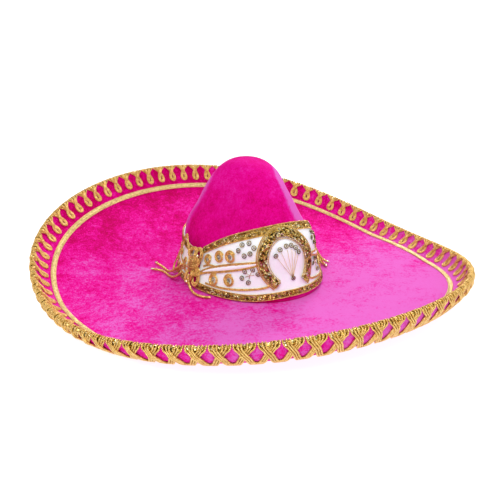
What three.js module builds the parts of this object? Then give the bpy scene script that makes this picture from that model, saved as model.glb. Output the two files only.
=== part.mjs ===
// A mariachi sombrero: stiff brim and crown, velvet skins, embroidered hat band, corded rim and side knots.
// Millimetres, +Z up, origin on the table under the middle of the brim, the wearer faces -Y.
//
// Every ring is drawn flat as a lathe, and every ornament as a flat strip. They are then blocked over one
// brim surface and one crown surface, as a hatter blocks felt, so the layers stay parallel and never touch.
import * as THREE from "three";

// ---- Driving dimensions ----
const HEAD_R = 94; // mean radius of the crown's foot
const OVAL_X = 0.925; // a head is narrower from ear to ear
const OVAL_Y = 1.155; // and longer from brow to nape
const CROWN_H = 156;
const CROWN_TAPER = 1.02; // how early the sides lean in
const CROWN_DOME = 0.37; // how full the top is
// Where the crown leaves its plain shape: by a share of its radius, at a height, spread over so much height.
const SWELL = { share: 0.083, z: 66, spread: 22 }; // it bellies out over the band
const PINCH = { share: 0.205, z: 94, spread: 57, at: 78, width: 32 }; // both sides, at degrees from the brow
const DENT = { share: 0.05, z: 125, spread: 20, at: 45, width: 26 }; // thumb dents either side of the brow
const PINCH_FOOT = 12; // the pinch dies out towards the oval foot

const RIM_X = 281; // half the brim's width
const RIM_Y = 286; // half its length
const RIM_SQUARE = 0.02; // rounds the oval's corners out a little
const FLAT_TO = 0.12; // the brim is flat this share of the way from the crown to the rim
const SWEEP = 1.15; // then sweeps up
const CURL_FROM = 0.76; // and its edge curls
const CURL = 19; // by this height
const CURL_TIGHT = 0.9;
const SAG = 10; // over the ears the brim runs down this far below the crown's foot, before it curls
const BROW = { from: 0.12, curl: 7, tight: 0.03 }; // the curl is later, taller and steeper towards the brow
const STAND = 8; // the hat stands on the brim's two low sides, with its crown's foot this high
const BRIM_SPAN = 185; // mean distance from the crown to the rim
const TUCK = -0.02; // the brim reaches this far under the crown's wall

// Layers of the brim, as heights above its underside.
const UNDER_VELVET = [0, 1];
const BOARD = [1.3, 3.8];
const TOP_VELVET = [4.1, 5.1];
const TRIM_INSIDE = [5.4, 8];
const TRIM_OUTSIDE = [-2.6, -0.3];
const BRAID_LAYER = [5.4, 7];
const BRIM_TOP = TOP_VELVET[1];

// Layers of the crown, as depths under its velvet.
const CROWN_VELVET = [-1, 0];
const SHELL = [-3.8, -1.3];
const LINING = [-4.9, -4.1];
const SWEAT_LEATHER = [-6.8, -5.2];

// Layers of the hat band, as heights off the crown's velvet.
const PANEL = [0.8, 2.3];
const EDGE_BRAID = [3, 5];
const HORSESHOE = [3.1, 6];
const CORD_LIFT = 4.1;
const SEQUINS = [3.4, 4.4];

const AROUND = 40; // stations round the hat, shared by every layer
const STATION = 360 / AROUND;
const BAND_FOOT = 2;
const BAND_SIDE_H = 43; // height of the band beside the knots
const BRAID_W = 8;
const PANEL_END = 81; // degrees from a panel's middle to its end
const SETTLED = 45; // degrees right of the brow where the front band has come down
// The front panel is sewn on a little towards the right ear.
const FRONT = { name: "front", turn: -2.5, rise: 47.5, foot: 4.5, arch: 27, scale: 1, fan: 1 };
const BACK = { name: "back", turn: 180, rise: 12, foot: 0, arch: 21, scale: 0.6, fan: 0.48 };

const deg = THREE.MathUtils.degToRad;
const UP = new THREE.Vector3(0, 0, 1);

// ---- Materials ----
const finish = (color, roughness, metalness = 0) =>
  new THREE.MeshStandardMaterial({ color, roughness, metalness });
const velvet = finish(0xd8108c, 0.95);
const board = finish(0x8a7355, 0.9);
const buckram = finish(0xcdbd98, 0.9);
const satin = finish(0xf4eff2, 0.45);
const leather = finish(0x3a2620, 0.6);
const goldCord = finish(0xc9993a, 0.4, 0.7);
const goldSequin = finish(0xd8b04c, 0.25, 0.9);
const steel = finish(0x9a9a9a, 0.35, 1);

const hat = new THREE.Group();
function add(name, geometry, material) {
  geometry.translate(0, 0, STAND); // the surfaces are measured from the crown's foot
  const mesh = new THREE.Mesh(geometry, material);
  mesh.name = name;
  hat.add(mesh);
  return mesh;
}

// ---- The two surfaces ----
// Heights here are above the crown's foot, which STAND lifts clear of the table.
// phi runs from the brow (0) past the wearer's left ear, at +X (90 degrees).
const ovalPoint = (phi, r, z) =>
  new THREE.Vector3(r * OVAL_X * Math.sin(phi), -r * OVAL_Y * Math.cos(phi), z);

const bell = (x, at, spread) => Math.exp(-(((x - at) / spread) ** 2));

function crownRadius(phi, z) {
  const t = THREE.MathUtils.clamp(z / CROWN_H, 0, 1);
  const off = THREE.MathUtils.radToDeg(Math.abs(Math.atan2(Math.sin(phi), Math.cos(phi))));
  const near = ({ share, z: height, spread }) => share * bell(z, height, spread);
  const hollow = (dent) => near(dent) * bell(off, dent.at, dent.width);
  const pinch = hollow(PINCH) * (1 - Math.exp(-Math.max(z, 0) / PINCH_FOOT));
  return HEAD_R * (1 - t ** CROWN_TAPER) ** CROWN_DOME * (1 + near(SWELL) - pinch - hollow(DENT));
}

const crownSkin = (phi, z) =>
  ovalPoint(phi, crownRadius(phi, z), BRIM_TOP + z);

// A point d off the crown's velvet, z above the brim.
function onCrown(phi, z, d) {
  if (z >= CROWN_H - 0.01) return new THREE.Vector3(0, 0, BRIM_TOP + CROWN_H + d);
  const h = 0.002;
  const low = Math.max(z, 0.4);
  const along = crownSkin(phi + h, low).sub(crownSkin(phi - h, low));
  const rising = crownSkin(phi, low + h).sub(crownSkin(phi, low - h));
  const normal = along.cross(rising).normalize();
  normal.z *= Math.min(1, z / 12); // the layers meet the brim level
  return crownSkin(phi, z).addScaledVector(normal, d);
}

function rimPoint(phi) {
  const oval = 1 / Math.hypot(Math.cos(phi) / RIM_Y, Math.sin(phi) / RIM_X);
  const r = oval * (1 - RIM_SQUARE * Math.cos(4 * phi));
  // High at the back, lower at the front, lowest over the ears.
  const z =
    36.6 -
    17.1 * Math.cos(phi) +
    25.2 * Math.cos(2 * phi) -
    3.6 * Math.cos(3 * phi) -
    2.3 * Math.cos(4 * phi);
  return new THREE.Vector3(r * Math.sin(phi), -r * Math.cos(phi), z);
}

// The brim's underside, s running from the crown (0) to the rim (1).
function brimSkin(s, phi) {
  const rim = rimPoint(phi);
  const p = ovalPoint(phi, HEAD_R, 0).lerp(rim, s);
  const share = (from) => Math.max(0, (s - from) / (1 - from));
  const brow = (1 + Math.cos(phi)) / 2;
  const tight = CURL_TIGHT + BROW.tight * brow;
  const lip = (x) => 1 - Math.sqrt(1 - tight ** 2 * x * x);
  const curl = Math.min(CURL + BROW.curl * brow, rim.z + SAG);
  const rise = (curl * lip(share(CURL_FROM + BROW.from * brow))) / lip(1);
  p.z = (rim.z - curl) * share(FLAT_TO) ** SWEEP + rise;
  return p;
}

// A point n above the brim's underside. Past the rim, s goes straight on.
function onBrim(s, phi, n) {
  const h = 1e-4;
  const at = THREE.MathUtils.clamp(s, 2 * h, 1 - h);
  const out = brimSkin(at + h, phi).sub(brimSkin(at - h, phi));
  const round = brimSkin(at, phi + h).sub(brimSkin(at, phi - h));
  const normal = out.clone().cross(round).normalize();
  if (s < 0 || at < 0.5) normal.copy(UP);
  const p = brimSkin(Math.min(s, 1), phi);
  if (s > 1) p.addScaledVector(out.normalize(), (s - 1) * BRIM_SPAN);
  return p.addScaledVector(normal, n);
}

// ---- Blocking: bending flat geometry over a surface ----
function blocked(geometry, place) {
  const flat = geometry.getAttribute("position");
  const p = new THREE.Vector3();
  for (let i = 0; i < flat.count; i++) {
    p.copy(place(p.fromBufferAttribute(flat, i)));
    flat.setXYZ(i, p.x, p.y, p.z);
  }
  geometry.deleteAttribute("normal");
  geometry.deleteAttribute("uv");
  geometry.computeVertexNormals();
  return geometry;
}

const angleOf = (p) => Math.atan2(p.x, p.z);

// A lathe with every face split along the same diagonal, so layers stay parallel where the hat twists.
function turned(outline) {
  const ring = new THREE.LatheGeometry(outline, AROUND);
  const index = ring.getIndex();
  for (let face = 0; face < index.count / 6; face++) {
    const j = face % (outline.length - 1);
    if (outline[j + 1].x >= outline[j].x) continue;
    const [a, b, d, c] = [0, 1, 2, 3].map((k) => index.getX(6 * face + k));
    [a, b, c, a, c, d].forEach((v, k) => index.setX(6 * face + k, v));
  }
  return ring;
}

// A ring of the brim: the outline's points are [share of the way to the rim, height above the underside].
function brimRing(outline) {
  const flat = outline.map(([s, n]) => new THREE.Vector2(1 + s, n));
  return blocked(turned([...flat, flat[0]]), (p) => onBrim(Math.hypot(p.x, p.z) - 1, angleOf(p), p.y));
}

// A layer of the brim, following the same stations as every other layer.
const BRAID = [0.852, 0.882]; // where the braid ring lies
const BRIM_STATIONS = [0.12, 0.45, 0.76, ...BRAID, 0.892, 0.93, 0.978];
function brimLayer([low, high], from = TUCK, to = 1) {
  const s = BRIM_STATIONS.filter((x) => x > from && x < to);
  const row = [from, ...s, to];
  return brimRing([...row.map((x) => [x, low]), ...row.reverse().map((x) => [x, high])]);
}

// A layer of the crown, a dome open underneath.
const CROWN_STATIONS = [0.12, 0.28, 0.46, 0.64, 0.79, 0.9, 0.97];
const WALL_FOOT = 0.4 / CROWN_H; // the crown's wall stands on the brim
function crownLayer(depths) {
  const stations = [WALL_FOOT, ...CROWN_STATIONS, 1];
  const [inside, outside] = depths.map((d) => stations.map((t) => new THREE.Vector2(1 - t, d)));
  return blocked(turned([...inside.reverse(), ...outside]), (p) =>
    onCrown(angleOf(p), (1 - Math.hypot(p.x, p.z)) * CROWN_H, p.y),
  );
}

// A strip off the crown: edges(u) gives the angle in degrees and its lower and upper heights, u from 0 to 1.
function bandStrip(steps, rows, [low, high], edges) {
  const strip = new THREE.BoxGeometry(1, 1, 1, steps, rows, 1);
  return blocked(strip, (p) => {
    const [angle, bottom, top] = edges(p.x + 0.5);
    const z = THREE.MathUtils.lerp(bottom, top, p.y + 0.5);
    return onCrown(deg(angle), z, THREE.MathUtils.lerp(low, high, p.z + 0.5));
  });
}

// A flat ornament sewn at an angle and height: x and y are millimetres along the band, z is off the crown.
function sewn(geometry, angle, z) {
  const phi = deg(angle);
  const r = crownRadius(phi, z) * Math.hypot(OVAL_X * Math.cos(phi), OVAL_Y * Math.sin(phi));
  return blocked(geometry, (p) => onCrown(phi + p.x / r, z + p.y, p.z));
}

// A round cord along points, with a few flat sides.
function cord(points, radius, sides, steps) {
  const path = new THREE.CatmullRomCurve3(points, false, "centripetal");
  const section = new THREE.Shape(
    Array.from({ length: sides }, (_, i) => {
      const a = (2 * Math.PI * i) / sides;
      return new THREE.Vector2(radius * Math.cos(a), radius * Math.sin(a));
    }),
  );
  return new THREE.ExtrudeGeometry(section, { steps, extrudePath: path });
}

// ---- Brim ----
const WIRE_R = 1.2;
const pastRim = (mm) => 1 + mm / BRIM_SPAN;

function wireRing() {
  const middle = (BOARD[0] + BOARD[1]) / 2;
  const section = [0, 1, 2, 3, 4].map((i) => {
    const a = deg(72 * i);
    return [pastRim(-1.6 + WIRE_R * Math.cos(a)), middle + WIRE_R * Math.sin(a)];
  });
  return brimRing(section);
}

// The cord trim's envelope: over the inside face, round the edge and down the outside face.
function rimTrim() {
  const [inner, bend, outer, edge] = [0.892, 0.93, 0.93, 0.978];
  const [liningTop, skinTop] = TRIM_INSIDE;
  const [skinUnder, liningUnder] = TRIM_OUTSIDE;
  return brimRing([
    [inner, liningTop],
    [bend, liningTop],
    [edge, liningTop],
    [1, liningTop],
    [pastRim(0.3), liningTop],
    [pastRim(0.3), liningUnder],
    [1, liningUnder],
    [edge, liningUnder],
    [outer, liningUnder],
    [outer, skinUnder],
    [edge, skinUnder],
    [1, skinUnder],
    [pastRim(2.8), 0],
    [pastRim(2.8), TOP_VELVET[1]],
    [1, skinTop],
    [edge, skinTop],
    [bend, skinTop],
    [inner, skinTop],
  ]);
}

add("brim_under_velvet", brimLayer(UNDER_VELVET), velvet);
add("brim_board", brimLayer(BOARD, TUCK, 0.978), board);
add("brim_edge_wire", wireRing(), steel);
add("brim_top_velvet", brimLayer(TOP_VELVET), velvet);
add("rim_cord_trim", rimTrim(), goldCord);
add("brim_inner_braid", brimLayer(BRAID_LAYER, ...BRAID), goldCord);

// ---- Crown ----
add("crown_velvet", crownLayer(CROWN_VELVET), velvet);
add("crown_shell", crownLayer(SHELL), buckram);
add("crown_lining", crownLayer(LINING), satin);

// The sweatband passes down through the brim and ends level with its underside.
function sweatband() {
  const z = [-BRIM_TOP, 0, ...CROWN_STATIONS.slice(0, 2).map((t) => t * CROWN_H)];
  const [inside, outside] = SWEAT_LEATHER.map((d) =>
    z.map((height) => new THREE.Vector2(CROWN_H - height, d)),
  );
  const outline = [...inside.reverse(), ...outside, inside[0]];
  return blocked(turned(outline), (p) => {
    const height = CROWN_H - Math.hypot(p.x, p.z);
    const at = onCrown(angleOf(p), Math.max(height, 0), p.y);
    return at.setZ(at.z + Math.min(height, 0));
  });
}
add("sweatband", sweatband(), leather);

// ---- Hat band ----
// The band is low beside the knots and rises to a peak over the brow and the nape.
const swag = (off) => 1 - (off / 90) ** 2;
const bandTop = (panel, off) => BAND_SIDE_H + panel.rise * swag(off);
// A front band lifts at the brow and sits down on the brim at the wearer's right.
const bandFoot = (panel, off) =>
  BAND_FOOT + panel.foot * swag(off) * THREE.MathUtils.smoothstep(off, -SETTLED, 0);
const bandHeight = (panel, z) => BAND_FOOT + (z - BAND_FOOT) * panel.scale;

function bandPiece(panel, layer, rows, bottom, top) {
  const steps = Math.round((2 * PANEL_END) / STATION);
  return bandStrip(steps, rows, layer, (u) => {
    const off = THREE.MathUtils.lerp(-PANEL_END, PANEL_END, u);
    return [panel.turn + off, bottom(off), top(off)];
  });
}

const HORSESHOE_HALF = 30;

function horseshoeArm(panel) {
  const width = 11 * panel.scale;
  const arm = new THREE.BoxGeometry(1, 1, 1, 18, 1, 1);
  const reach = deg(140);
  return sewn(
    blocked(arm, (p) => {
      const a = THREE.MathUtils.lerp(-reach, reach, p.x + 0.5);
      const tall = Math.cos(a) > 0 ? panel.arch : 36;
      const w = width * p.y;
      const drawnIn = 1 - 0.15 * Math.min(0, Math.cos(a)) ** 2; // towards the ends of its legs
      const lean = -3 * (1 + Math.cos(a)) * panel.scale; // its top leans to the wearer's right
      return new THREE.Vector3(
        (HORSESHOE_HALF * panel.scale + w) * Math.sin(a) * drawnIn + lean,
        (tall * panel.scale + w) * Math.cos(a),
        THREE.MathUtils.lerp(...HORSESHOE, p.z + 0.5),
      );
    }),
    panel.turn,
    bandHeight(panel, 49),
  );
}

// Rays of thread from one bead, each ending in a sequin.
function fanShape(size) {
  const rays = 6;
  const outline = [];
  for (let i = 0; i < rays; i++) {
    const a = deg(THREE.MathUtils.lerp(-25, 25, i / (rays - 1)));
    const out = new THREE.Vector2(Math.sin(a), Math.cos(a));
    const side = new THREE.Vector2(Math.cos(a), -Math.sin(a));
    const length = 33 + 2 * Math.cos(2 * a);
    const ray = [
      [8, -0.5], [length - 2.6, -0.5], [length, -2.2], [length + 2, 0],
      [length, 2.2], [length - 2.6, 0.5], [8, 0.5],
    ];
    for (const [r, w] of ray)
      outline.push(
        out.clone().multiplyScalar(r * size).addScaledVector(side, w * size),
      );
  }
  outline.push(new THREE.Vector2(2.4 * size, -1), new THREE.Vector2(-2.4 * size, -1));
  return new THREE.Shape(outline.reverse());
}

// Six sequins in a ring.
function rosetteShape(size) {
  const outline = Array.from({ length: 24 }, (_, i) => {
    const a = deg(15 * i);
    const r = size * (8.2 + 1.6 * Math.cos(6 * a));
    return new THREE.Vector2(r * Math.cos(a), r * Math.sin(a));
  });
  return new THREE.Shape(outline);
}

const plate = (shape, [low, high]) =>
  new THREE.ExtrudeGeometry(shape, { depth: high - low, bevelEnabled: false }).translate(0, 0, low);

// Cord couched on the band. The places are [degrees from the panel's middle, height], on its left half.
function couched(panel, hand, places, steps) {
  const points = places.map(([angle, z]) =>
    onCrown(deg(panel.turn + hand * angle), bandHeight(panel, z), CORD_LIFT),
  );
  return cord(points, 0.9 * (0.5 + panel.scale / 2), 4, steps);
}

// A running scroll of open loops, each [degrees, height, radius].
function scroll(loops, tail) {
  const places = [];
  for (const [angle, z, r] of loops)
    for (let a = -35; a <= 215; a += 50)
      places.push([
        angle - (r / 1.55) * Math.cos(deg(a)),
        z + r * Math.sin(deg(a)),
      ]);
  return [...places, ...tail];
}

// A long pointed leaf, from one tip round to nearly the same tip.
function leaf([fromAngle, fromZ], [toAngle, toZ], half) {
  const places = [];
  for (let i = 0; i <= 16; i++) {
    const t = THREE.MathUtils.lerp(0.03, 1.97, i / 16);
    const along = t < 1 ? t : 2 - t;
    const bow = Math.sin(Math.PI * along) * half * (t < 1 ? 1 : -1);
    places.push([
      THREE.MathUtils.lerp(fromAngle, toAngle, along),
      THREE.MathUtils.lerp(fromZ, toZ, along) + bow + (t < 1 ? 0.75 : -0.75),
    ]);
  }
  return places;
}

const UPPER_LOOPS = [[-63.5, 47.5, 5], [-52, 52.5, 5.5]];
const LOWER_LOOPS = [[-65.5, 19.7, 5], [-53, 23.5, 5.5]];

for (const panel of [FRONT, BACK]) {
  const top = (off) => bandTop(panel, off);
  const foot = (off) => bandFoot(panel, off);
  add(`${panel.name}_band_panel`, bandPiece(panel, PANEL, 5, foot, top), satin);
  add(
    `${panel.name}_band_top_braid`,
    bandPiece(panel, EDGE_BRAID, 1, (off) => top(off) - BRAID_W, (off) => top(off) + 1),
    goldCord,
  );
  add(
    `${panel.name}_band_foot_braid`,
    bandPiece(panel, EDGE_BRAID, 1, (off) => foot(off) - 0.5, (off) => foot(off) + BRAID_W),
    goldCord,
  );
  add(`${panel.name}_horseshoe`, horseshoeArm(panel), goldSequin);
  add(
    `${panel.name}_horseshoe_fan`,
    sewn(plate(fanShape(panel.fan), SEQUINS), panel.turn, bandHeight(panel, 26)),
    goldSequin,
  );
  // Angles are given on the panel's own right. Seen from above, the back panel's runs the other way.
  const right = panel === FRONT ? 1 : -1;
  for (const [side, hand] of [["right", right], ["left", -right]]) {
    const at = (angle, z) => [panel.turn + hand * angle, bandHeight(panel, z)];
    const rosette = () => plate(rosetteShape(panel.scale * 0.9), SEQUINS);
    const name = `${panel.name}_${side}`;
    add(`${name}_upper_rosette`, sewn(rosette(), ...at(-39, 62)), goldSequin);
    add(`${name}_lower_rosette`, sewn(rosette(), ...at(-36, 32.5)), goldSequin);
    add(`${name}_upper_scroll`, couched(panel, hand, scroll(UPPER_LOOPS, []), 22), goldCord);
    add(
      `${name}_lower_scroll`,
      couched(panel, hand, scroll(LOWER_LOOPS, [[-47, 17.3], [-35, 18.8], [-24, 21]]), 26),
      goldCord,
    );
    add(`${name}_leaf`, couched(panel, hand, leaf([-76.5, 27.5], [-29, 51.5], 3), 24), goldCord);
  }
}

// ---- Side knots, with the loose ends of their cord ----
const KNOT_Z = 28;
const TAIL_R = 1.7;

// Where each loose cord runs: [distance out from the middle, distance back, height above the brim].
// The tails drop from the knot and lie along the brim. The loop drops and tucks under the band. The band was
// tied by turning the hat half round, so the left knot's tails point forwards and its loop lies behind.
const LOOP = [
  [96.3, -8.5, 20.5], [98.6, -12, 14.5], [100, -16.5, 9.3], [100.6, -22, 5.4], [100.4, -28, 3.2],
  [99.5, -34, 2.3], [97.8, -39.5, 2.1], [95.4, -44.3, 2.1], [92.4, -48.2, 2.2], [89.2, -50.8, 2.6],
];
const CORD_ROUTES = {
  right: {
    upper_tail: [
      [92.5, 12.5, 27], [94.2, 18, 22.6], [95, 25, 17.6], [95.1, 32, 13], [94.7, 39.5, 8.9], [94, 47, 5.8],
      [93, 54, 3.7], [92, 60.5, 2.6], [91.2, 67.5, 2.4], [91, 74.5, 2.7], [91.4, 81.5, 3.1], [92.6, 89.5, 3.8],
    ],
    lower_tail: [
      [96, 8.5, 18.5], [97.6, 13, 14], [98.6, 18.5, 9.6], [99, 25, 6.1], [98.9, 31.5, 3.8], [98.5, 39, 2.5],
      [97.8, 46, 2.2], [97.2, 52.5, 2.2], [97.7, 58.5, 2.4], [99.8, 64, 2.6], [103, 68.6, 2.9],
      [107.3, 72.3, 3.3],
    ],
    loop: LOOP,
  },
  left: {
    upper_tail: [
      [93, -10, 26], [95.5, -12.2, 22], [97.8, -15, 17.2], [99.9, -18.3, 12.3], [101.8, -21.8, 8.4],
      [103.5, -25.4, 5.6], [105.1, -29.1, 4], [106.8, -32.9, 3.4],
    ],
    lower_tail: [
      [96.3, -7.5, 18], [98.7, -10.6, 13.2], [100.4, -14.8, 8.7], [101.1, -19.8, 5.3], [101, -25, 3.3],
      [100.2, -30.2, 2.5], [99, -35.4, 2.2], [97.6, -40.6, 2.3],
    ],
    loop: LOOP.map(([out, back, z]) => [out, -back, z]),
  },
};

function knot(hand) {
  const lump = new THREE.SphereGeometry(1, 12, 8).scale(10.5, 19, 5.4).translate(0, 0, 6.6);
  return sewn(lump, 90 * hand, KNOT_Z);
}

for (const [side, hand] of [["left", 1], ["right", -1]]) {
  add(`${side}_knot`, knot(hand), goldCord);
  for (const [name, route] of Object.entries(CORD_ROUTES[side])) {
    const points = route.map(([out, back, z]) => new THREE.Vector3(hand * out, back, BRIM_TOP + z));
    add(`${side}_${name}`, cord(points, TAIL_R, 8, 13), goldCord);
  }
}

export default hat;
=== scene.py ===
"""A mariachi sombrero: pink velvet, a rim bound with gold cord and an embroidered satin hat band.

Shapes are worked out in millimetres over the CAD's own brim and crown surfaces, and made in metres.
"""

import math
import random
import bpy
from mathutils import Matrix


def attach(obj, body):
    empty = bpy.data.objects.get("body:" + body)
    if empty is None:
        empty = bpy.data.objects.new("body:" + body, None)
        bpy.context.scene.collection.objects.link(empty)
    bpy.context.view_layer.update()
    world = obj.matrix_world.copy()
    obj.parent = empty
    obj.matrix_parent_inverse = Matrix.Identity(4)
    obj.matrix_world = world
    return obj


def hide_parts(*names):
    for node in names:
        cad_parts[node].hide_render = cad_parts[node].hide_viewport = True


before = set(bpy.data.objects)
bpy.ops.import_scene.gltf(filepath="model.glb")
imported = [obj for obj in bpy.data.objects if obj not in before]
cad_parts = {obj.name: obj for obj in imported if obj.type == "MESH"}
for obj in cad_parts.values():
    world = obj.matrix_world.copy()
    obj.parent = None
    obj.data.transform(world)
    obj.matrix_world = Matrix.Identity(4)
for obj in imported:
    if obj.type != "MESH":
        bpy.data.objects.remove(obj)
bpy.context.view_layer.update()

import bpy
import numpy as np
from mathutils import Vector

MM = 0.001
TAU = 2 * math.pi
rng = random.Random(11)


def put(name, data):
    """A new object in the scene."""
    made = bpy.data.objects.new(name, data)
    bpy.context.scene.collection.objects.link(made)
    return made


# ---- Camera, at the photograph's place ----
AZIMUTH, ELEVATION, DISTANCE = math.radians(-32.5), math.radians(20), 1.2225
TARGET = Vector((0, 0, 0.0501))
LENS, SHIFT = 66.2, (0.006, -0.0117)
camera_data = bpy.data.cameras.new("camera")
camera_data.lens = LENS
camera_data.shift_x, camera_data.shift_y = SHIFT
camera = put("camera", camera_data)
level = math.cos(ELEVATION)
away = Vector((math.sin(AZIMUTH) * level, -math.cos(AZIMUTH) * level, math.sin(ELEVATION)))
camera.location = TARGET + DISTANCE * away
camera.rotation_euler = away.to_track_quat("Z", "Y").to_euler()
bpy.context.scene.camera = camera


# ---- Materials ----
def fill_ramp(ramp, stops):
    """Sets a colour ramp's stops, each (position, colour)."""
    elements = ramp.color_ramp.elements
    while len(elements) < len(stops):
        elements.new(0.5)
    for element, (position, colour) in zip(elements, stops):
        element.position, element.color = position, colour


class Shader:
    """A Principled material and short ways to add nodes to it. Every socket is set by name."""

    def __init__(self, name, **constants):
        self.material = bpy.data.materials.new(name)
        self.material.use_nodes = True
        self.tree = self.material.node_tree
        self.bsdf = self.tree.nodes["Principled BSDF"]
        for socket, value in constants.items():
            self.bsdf.inputs[socket.replace("_", " ")].default_value = value
        self.place = self.node("ShaderNodeTexCoord").outputs["Object"]

    def node(self, kind, inputs=(), **settings):
        made = self.tree.nodes.new(kind)
        for key, value in settings.items():
            setattr(made, key, value)
        for key, value in dict(inputs).items():
            if isinstance(value, bpy.types.NodeSocket):
                self.tree.links.new(value, made.inputs[key])
            else:
                made.inputs[key].default_value = value
        return made

    def noise(self, scale, detail=2.0, rough=0.5):
        return self.node(
            "ShaderNodeTexNoise",
            {"Vector": self.place, "Scale": scale, "Detail": detail, "Roughness": rough},
        ).outputs["Fac"]

    def cells(self, scale, output="Color"):
        return self.node("ShaderNodeTexVoronoi", {"Vector": self.place, "Scale": scale}).outputs[output]

    def first(self, colour):
        """The first channel of a colour."""
        return self.node("ShaderNodeSeparateColor", {"Color": colour}).outputs[0]

    def math(self, operation, a, b=0.0, clamp=False):
        return self.node("ShaderNodeMath", {0: a, 1: b}, operation=operation, use_clamp=clamp).outputs[0]

    def vector(self, operation, a, b, second=1, output=0):
        return self.node("ShaderNodeVectorMath", {0: a, second: b}, operation=operation).outputs[output]

    def remap(self, value, low, high, to_low=0.0, to_high=1.0):
        return self.node(
            "ShaderNodeMapRange",
            {"Value": value, "From Min": low, "From Max": high, "To Min": to_low, "To Max": to_high},
        ).outputs[0]

    def colours(self, factor, *stops):
        """A colour ramp: stops are (position, colour)."""
        ramp = self.node("ShaderNodeValToRGB", {"Fac": factor})
        fill_ramp(ramp, stops)
        return ramp.outputs["Color"]

    def bump(self, height, distance, strength=1.0, under=None):
        inputs = {"Height": height, "Distance": distance, "Strength": strength}
        if under is not None:
            inputs["Normal"] = under
        return self.node("ShaderNodeBump", inputs).outputs["Normal"]

    def set(self, **links):
        for socket, value in links.items():
            self.tree.links.new(value, self.bsdf.inputs[socket.replace("_", " ")])
        return self.material


def rgb(r, g, b):
    """An sRGB colour, 0 to 255, as linear RGBA."""
    linear = [((c / 255 + 0.055) / 1.055) ** 2.4 if c > 10 else c / 255 / 12.92 for c in (r, g, b)]
    return (*linear, 1.0)


def velvet(name, level, lean, blotchy, sheen, grazing, painted_sheen_bands=()):
    """Short dense nap, in blotches of tone where the nap lies one way or another. Its colour is painted
    lighter by
    lean for each metre along x, y and z: painted sheen where it grows lighter, painted shade where it grows
    darker. Each painted sheen band in the last argument is a direction, how squarely the cloth must face it
    to be lighter at all, and how much lighter it is where it faces it fully."""
    s = Shader(
        name, Roughness=0.9, Specular_IOR_Level=0.05,
        Sheen_Weight=sheen, Sheen_Roughness=grazing, Sheen_Tint=rgb(255, 120, 225),
    )
    axis = s.node("ShaderNodeSeparateXYZ", {"Vector": s.place})
    # Painted sheen and shade: the colour grows lighter or darker along x, y and z.
    factor = level
    for letter, painted_light_per_metre in zip("XYZ", lean):
        factor = s.math("ADD", factor, s.math("MULTIPLY", axis.outputs[letter], painted_light_per_metre))
    for scale, detail, depth in BLOTCHES:
        half = depth * blotchy / 2
        factor = s.math("ADD", factor, s.remap(s.noise(scale, detail, 0.6), 0.25, 0.75, -half, half))
    facing = s.node("ShaderNodeNewGeometry").outputs["Normal"]
    # Painted sheen: bands of lighter colour where the cloth faces each given direction.
    for direction, start, lighter in painted_sheen_bands:
        squarely = s.vector("DOT_PRODUCT", facing, direction, output="Value")
        factor = s.math("ADD", factor, s.remap(squarely, start, 1.0, 0.0, lighter))
    factor = s.math("ADD", factor, 0.0, clamp=True)
    colour = s.colours(factor, *PINKS)
    crush = s.bump(s.noise(60, 3), 0.0016, 0.3)
    return s.set(Base_Color=colour, Normal=s.bump(s.noise(900, 2), 0.0005, 0.6, crush))


def metallic_thread(name, light, dark, pitch, roughness, metal):
    """Gold foil wound on a core, with pitch mm between windings. UVs are mm along and turns round."""
    s = Shader(name, Metallic=metal, Roughness=roughness)
    uv = s.node("ShaderNodeSeparateXYZ", {"Vector": s.node("ShaderNodeUVMap").outputs[0]})
    along = s.math("MULTIPLY", uv.outputs["X"], TAU / pitch)
    round_ = s.math("MULTIPLY", uv.outputs["Y"], TAU)
    wave = s.remap(s.math("SINE", s.math("ADD", along, round_)), -1, 1)
    grain = s.noise(1500, 2)
    # Painted shade and highlight: the colour is darker in the grooves between windings and pale on their
    # crests.
    tone = s.math("ADD", s.math("MULTIPLY", wave, 0.55), s.remap(s.noise(300, 3), 0.3, 0.7, -0.05, 0.5))
    colour = s.colours(tone, (0.0, dark), (0.5, light), (1.0, rgb(255, 232, 160)))
    rough = s.remap(grain, 0.3, 0.7, roughness - 0.1, roughness + 0.14)
    normal = s.bump(wave, 0.0003, 0.8, s.bump(grain, 0.0001, 0.5))
    return s.set(Base_Color=colour, Roughness=rough, Normal=normal)


def woven(name, colour_a, colour_b, scale, **constants):
    """Cloth with a plain weave, scale threads to the metre, and slow changes of tone."""
    s = Shader(name, **constants)
    threads = s.node(
        "ShaderNodeTexWave",
        {"Vector": s.place, "Scale": scale, "Distortion": 0.6, "Detail": 1.0},
        bands_direction="DIAGONAL",
    ).outputs["Fac"]
    tone = s.math("ADD", s.math("MULTIPLY", threads, 0.3), s.math("MULTIPLY", s.noise(30, 3), 0.7))
    colour = s.colours(tone, (0.25, colour_a), (0.75, colour_b))
    folds = s.bump(s.noise(45, 2), 0.0015, 0.22)
    return s.set(Base_Color=colour, Normal=s.bump(threads, 0.00012, 0.35, folds))


# The nap's blotches: how many to the metre, their detail, and how much lighter or darker they are.
BLOTCHES = ((7, 3, 0.6), (22, 3, 0.5), (60, 2, 0.3), (150, 2, 0.4), (420, 2, 0.6), (1000, 1, 0.6))
PINKS = (
    (0.0, rgb(186, 0, 84)),
    (0.22, rgb(216, 0, 122)),
    (0.42, rgb(228, 4, 146)),
    (0.6, rgb(226, 36, 158)),
    (0.82, rgb(222, 78, 180)),
    (1.0, rgb(224, 102, 196)),
)
# The brim's velvet is painted lighter than the crown's, and lighter still towards the front, as painted
# sheen; towards the back it is painted darker as painted shade.
BRIM_VELVET = velvet(
    "brim_velvet", level=0.67, lean=(0.1, -2.2, 0.0), blotchy=1.0, sheen=0.08, grazing=0.35
)
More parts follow.
